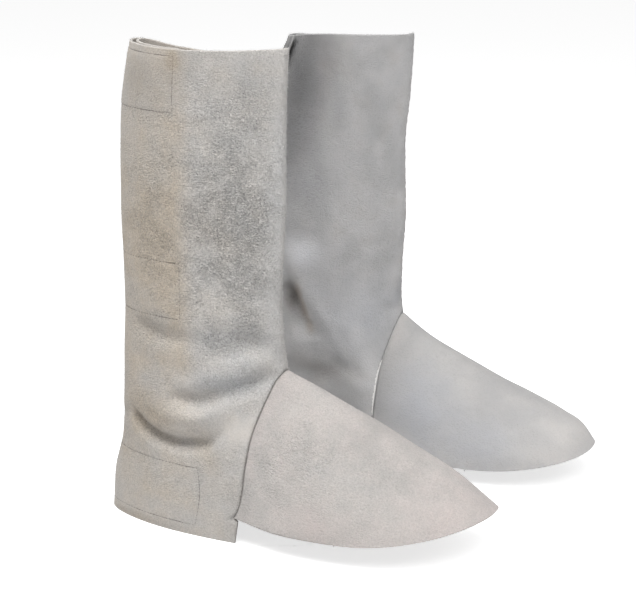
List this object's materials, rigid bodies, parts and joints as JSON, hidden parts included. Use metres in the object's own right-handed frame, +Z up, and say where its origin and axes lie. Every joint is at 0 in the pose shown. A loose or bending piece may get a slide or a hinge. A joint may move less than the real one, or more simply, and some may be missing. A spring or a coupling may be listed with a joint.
{
  "type": "leg guards",
  "caption": "Pair of suede leather leg guards that wrap the shin, close behind with a hook-and-loop lap, and cover the foot with a rounded flap.",
  "frame": {"origin": "middle of the pair's footprint, at the level of the hems that it stands on", "axes": "+X towards the toes, +Y to the wearer's left, +Z up the legs"},
  "size_m": [0.3348, 0.31, 0.36],
  "materials": {
    "right_leg_panel": "matte suede",
    "right_vamp": "matte suede",
    "right_hook_tape_top": "matte woven",
    "right_hook_tape_middle": "matte woven",
    "right_hook_tape_bottom": "matte woven",
    "right_loop_tape_top": "matte woven",
    "right_loop_tape_middle": "matte woven",
    "right_loop_tape_bottom": "matte woven",
    "left_leg_panel": "matte suede",
    "left_vamp": "matte suede",
    "left_hook_tape_top": "matte woven",
    "left_hook_tape_middle": "matte woven",
    "left_hook_tape_bottom": "matte woven",
    "left_loop_tape_top": "matte woven",
    "left_loop_tape_middle": "matte woven",
    "left_loop_tape_bottom": "matte woven"
  },
  "bodies": {
    "root": {"right_leg_panel": "right_leg_panel", "right_vamp": "right_vamp", "right_hook_tape_top": "right_hook_tape_top", "right_hook_tape_middle": "right_hook_tape_middle", "right_hook_tape_bottom": "right_hook_tape_bottom", "right_loop_tape_top": "right_loop_tape_top", "right_loop_tape_middle": "right_loop_tape_middle", "right_loop_tape_bottom": "right_loop_tape_bottom", "left_leg_panel": "left_leg_panel", "left_vamp": "left_vamp", "left_hook_tape_top": "left_hook_tape_top", "left_hook_tape_middle": "left_hook_tape_middle", "left_hook_tape_bottom": "left_hook_tape_bottom", "left_loop_tape_top": "left_loop_tape_top", "left_loop_tape_middle": "left_loop_tape_middle", "left_loop_tape_bottom": "left_loop_tape_bottom"}
  },
  "joints": []
}
